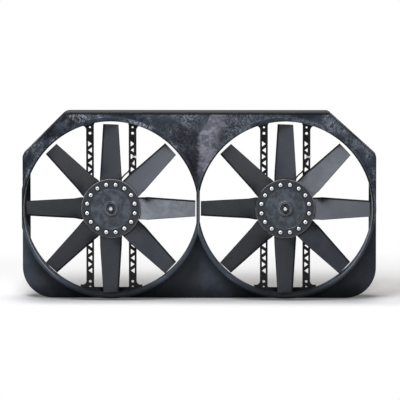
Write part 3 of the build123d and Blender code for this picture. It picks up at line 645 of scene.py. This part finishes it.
def paint_shroud(tree, tone):
    """Painted sheen and mottle at the top, the patch of painted light beside the middle, then the
    single marks.
    """
    x, _, z = parts_of(tree, here(tree))
    places = dict(use_group(tree, FAN_PLACE).items())
    places.update({"X": x, "Z": z, "Off Middle": compute(tree, "ABSOLUTE", x)})
    tone = paint_mottle_and_sheen(tree, tone, places)
    tone = paint_lit_patch(tree, tone, places)
    return paint_marks(tree, tone, places, SHROUD_MARKS)


def blade_lines(tree):
    """Mask of the dark lines along a blade's two edges."""
    off = use_group(tree, BLADE_PLACE)
    trailing = product(tree, fall(tree, off["Off Trailing"], *TRAILING_LINE), TRAILING_SHARE)
    return most(tree, fall(tree, off["Off Leading"], *LEADING_LINE), trailing)


def paint_blade(tree, tone):
    """A dark shade at the hub, and dark lines along the edges."""
    tone = paint_marks(tree, tone, use_group(tree, FAN_PLACE), BLADE_MARKS)
    return blend(tree, blade_lines(tree), tone, INK_AND_SHADE)


def paint_hub(tree, tone):
    """The rivet ring with its wells, and broken lines of painted highlight at the rim and round the
    boss.
    """
    spot = use_group(tree, FAN_PLACE)
    tone = paint_marks(tree, tone, spot, HUB_MARKS)
    broken = use_group(tree, MOTTLE, HUB_HIGHLIGHT_BREAKS)["Mask"]
    for low, high, share in HUB_HIGHLIGHTS:
        line = band(tree, spot["Radius"], low, high, HUB_HIGHLIGHT_SOFT)
        tone = blend(tree, product(tree, line, share, broken), tone, HIGHLIGHT_LINE)
    return tone


def paint_rivet(tree, tone):
    """The rivet's hole and foot."""
    return paint_marks(tree, tone, use_group(tree, FAN_PLACE), RIVET_MARKS)


FINISHES = {
    # The shroud's dark lines along its sharp edges are painted shade
    "shroud_plastic": finish(
        "shroud plastic", (0.016, 0.0205, 0.0275), (0.05, 0.058, 0.074), INK_AND_SHADE, rough=(0.5, 0.68),
        specular=0.2, bump=(0.25, 0.0012), mottle={"Size": 22.0, "Low": 0.42, "High": 0.68},
        grain={"Size": 700.0, "Waves": 26.0, "Wave Share": 1.2},
        edge_lines={"Radius": 0.0022, "Amount": 0.9, **WHOLE_LINE}, paint=paint_shroud,
        facing=LIP_FACING),
    "strap_paint": finish(
        "strap paint", (0.004, 0.004, 0.005), (0.01, 0.01, 0.011), (0.012, 0.012, 0.012),
        rough=(0.5, 0.65), specular=0.3, mottle={"Size": 30.0}),
    "foam": finish(
        "closed-cell foam", (0.02, 0.02, 0.021), (0.035, 0.035, 0.036), (0.05, 0.05, 0.05),
        rough=(0.85, 0.95), bump=(0.6, 0.0005), grain={"Size": 1500.0}),
    "motor_paint": finish(
        "motor paint", (0.02, 0.02, 0.022), (0.035, 0.035, 0.037), (0.2, 0.2, 0.2),
        rough=(0.3, 0.42)),
    "ferrite": finish(
        "ferrite", (0.05, 0.05, 0.05), (0.08, 0.08, 0.08), (0.1, 0.1, 0.1), rough=(0.6, 0.8)),
    "brown_plastic": finish(
        "brush holder plastic", (0.09, 0.05, 0.03), (0.13, 0.08, 0.05), (0.2, 0.15, 0.1)),
    "carbon": finish(
        "pressed carbon", (0.03, 0.03, 0.03), (0.05, 0.05, 0.05), (0.1, 0.1, 0.1),
        rough=(0.5, 0.7)),
    "rubber": finish(
        "grommet rubber", (0.015, 0.015, 0.015), (0.03, 0.03, 0.03), (0.05, 0.05, 0.05),
        rough=(0.6, 0.8)),
    "lead_sleeve": finish(
        "lead sleeve", (0.012, 0.012, 0.013), (0.02, 0.02, 0.021), (0.04, 0.04, 0.04),
        rough=(0.3, 0.45)),
    "white_nylon": finish(
        "white nylon", (0.9, 0.9, 0.88), (0.84, 0.84, 0.82), (0.95, 0.95, 0.93),
        rough=(0.35, 0.5)),
    "grey_plastic": finish(
        "connector plastic", (0.04, 0.04, 0.042), (0.06, 0.06, 0.062), (0.15, 0.15, 0.15)),
    "blade_plastic": finish(
        "blade plastic", (0.032, 0.035, 0.042), (0.041, 0.044, 0.052), INK_AND_SHADE, rough=(0.42, 0.52),
        specular=0.56, mottle={"Size": 12.0},
        grain={"Size": 900.0, "Waves": 60.0, "Wave Share": 0.4},
        edge_lines={"Radius": 0.0006, "Amount": 0.3, **WHOLE_LINE}, paint=paint_blade,
        facing=BLADE_PLACE, matt=blade_lines),
    "hub_paint": finish(
        "hub coating", (0.032, 0.038, 0.045), (0.078, 0.09, 0.105), (0.1, 0.1, 0.11),
        specular=0.35, mottle={"Size": 80.0, "Low": 0.36, "High": 0.66}, paint=paint_hub),
    "zinc_steel": bare_metal(
        "zinc steel", (0.55, 0.55, 0.53), (0.42, 0.43, 0.42), (1.0, 1.0, 0.2)),
    "black_steel": bare_metal(
        "black oxide steel", (0.03, 0.03, 0.033), (0.06, 0.06, 0.062), (1.0, 1.0, 0.2),
        metal=0.6),
    "spring_steel": bare_metal(
        "spring steel", (0.45, 0.45, 0.45), (0.35, 0.35, 0.35), (0.1, 1.0, 1.0)),
    "bearing_steel": bare_metal(
        "ground steel", (0.75, 0.75, 0.75), (0.65, 0.65, 0.65), (1.0, 0.1, 1.0), metal=0.5),
    "rivet_aluminium": bare_metal(
        "rivet aluminium", (0.92, 0.92, 0.91), (0.84, 0.84, 0.83), (1.0, 0.4, 1.0),
        rough=(0.35, 0.5), metal=0.25, paint=paint_rivet),
    "core_steel": bare_metal(
        "laminated steel", (0.3, 0.3, 0.31), (0.2, 0.2, 0.21), (0.05, 1.0, 0.05)),
    "copper": bare_metal(
        "enamelled copper", (0.6, 0.27, 0.12), (0.45, 0.18, 0.08), (0.05, 0.05, 1.0)),
}


def dress_nodes():
    """Give every node the finish its material slot names."""
    for part in frame["record"]["subparts"]:
        solid = nodes[part["node"]]
        solid.data.materials.clear()
        solid.data.materials.append(FINISHES[part["material_slot"]])


# Stage and light, in metres

# Floor: size and middle, its colour round the part, its glow, and its colour to indirect light
FLOOR_SIZE = 30.0
FLOOR_MIDDLE = (0.0, 6.0, 0.0)
FLOOR_COLOUR = (0.5768, 0.56, 0.5432)
FLOOR_LIFT = 0.14
FLOOR_BOUNCE = (0.2, 0.2, 0.2)

# Strength of the white world as light
WORLD_LIGHT = 0.08

# The floor turns plain white with the distance, seen wider than deep, and ahead of the part
FADE_STRETCH = (0.7, 1.0, 1.0)
FADE_DISTANCE = (0.4, 0.95)
FADE_AHEAD = (-0.19, -0.09)

# Painted soft shade under the part: behind it, before it, the step between, and to the sides
SHADE_SHARE = 0.56
SHADE_STEP = (0.0, 0.06)
SHADE_BEHIND = (0.1, 0.6)
SHADE_BEFORE = (-0.17, 0.0)
SHADE_SIDES = (0.33, 0.44)

# Lamps: name, place, aim, width and height, power in watts, colour
LAMPS = (
    ("key", (-0.73, -1.46, 2.23), (0.0, 0.0, 0.2), (1.3, 1.0), 80.0, (0.92, 0.965, 1.06)),
    ("front fill", (0.0, -3.0, 1.2), (0.0, 0.0, 0.2), (2.4, 1.0), 14.0, WHITE),
    ("overhead", (-0.1, 0.3, 2.5), (0.0, 0.1, 0.0), (2.2, 2.0), 55.0, WHITE),
)


def floor_masks(tree):
    """How far the floor has faded to white, and how much painted shade lies on it."""
    feeds = {0: here(tree), 1: FLOOR_MIDDLE}
    ground = place(tree, "ShaderNodeVectorMath", feeds, operation="ADD").outputs[0]
    feeds = {0: ground, 1: FADE_STRETCH}
    flat = place(tree, "ShaderNodeVectorMath", feeds, operation="MULTIPLY").outputs[0]
    apart = place(tree, "ShaderNodeVectorMath", {0: flat}, operation="LENGTH").outputs["Value"]
    x, y, _ = parts_of(tree, ground)
    faded = most(tree, rise(tree, apart, *FADE_DISTANCE), fall(tree, y, *FADE_AHEAD))
    behind = product(tree, rise(tree, y, *SHADE_STEP), fall(tree, y, *SHADE_BEHIND))
    before = product(tree, rise(tree, y, *SHADE_BEFORE), fall(tree, y, *SHADE_STEP))
    beside = fall(tree, compute(tree, "ABSOLUTE", x), *SHADE_SIDES)
    return faded, product(tree, plus(tree, behind, before), beside, SHADE_SHARE)


def add_floor():
    """A white floor that keeps the part's shadow and fades into the white background."""
    bpy.ops.mesh.primitive_plane_add(size=FLOOR_SIZE, location=FLOOR_MIDDLE)
    floor = bpy.context.object
    floor.name = "floor"
    material = bpy.data.materials.new("floor")
    material.use_nodes = True
    tree = material.node_tree
    tree.nodes.clear()
    faded, shaded = floor_masks(tree)
    rays = place(tree, "ShaderNodeLightPath").outputs
    seen = most(tree, rays["Is Camera Ray"], rays["Is Glossy Ray"])
    colour = blend(tree, shaded, FLOOR_COLOUR, BLACK)
    skin = place(tree, "ShaderNodeBsdfDiffuse", {"Color": colour}).outputs[0]
    glow = place(tree, "ShaderNodeEmission", {"Strength": FLOOR_LIFT}).outputs[0]
    lit = place(tree, "ShaderNodeAddShader", {0: skin, 1: glow}).outputs[0]
    dim = place(tree, "ShaderNodeBsdfDiffuse", {"Color": FLOOR_BOUNCE}).outputs[0]
    plain = place(tree, "ShaderNodeEmission", {"Strength": 1.0}).outputs[0]
    near = place(tree, "ShaderNodeMixShader", {0: seen, 1: dim, 2: lit}).outputs[0]
    feeds = {0: product(tree, faded, seen), 1: near, 2: plain}
    far = place(tree, "ShaderNodeMixShader", feeds).outputs[0]
    place(tree, "ShaderNodeOutputMaterial", {"Surface": far})
    floor.data.materials.append(material)


def set_world():
    """White to the camera, also through glass, and a weak soft light for everything else."""
    world = bpy.data.worlds.new("surround")
    bpy.context.scene.world = world
    world.use_nodes = True
    tree = world.node_tree
    back = tree.nodes["Background"].inputs
    rays = place(tree, "ShaderNodeLightPath").outputs
    seen = most(tree, rays["Is Camera Ray"], rays["Is Transmission Ray"])
    feed(back["Strength"], spread(tree, seen, 0.0, 1.0, WORLD_LIGHT, 1.0))
    feed(back["Color"], WHITE)


def add_lamps():
    """Rectangular area lamps, each aimed at a point."""
    for name, where, aim, size, power, colour in LAMPS:
        data = bpy.data.lights.new(name, "AREA")
        data.shape = "RECTANGLE"
        data.size, data.size_y = size
        data.energy = power
        data.color = colour
        add_aimed(name, data, where, Vector(aim) - Vector(where))


add_camera()
dress_nodes()
add_floor()
set_world()
add_lamps()
bpy.context.scene.view_settings.view_transform = "Standard"
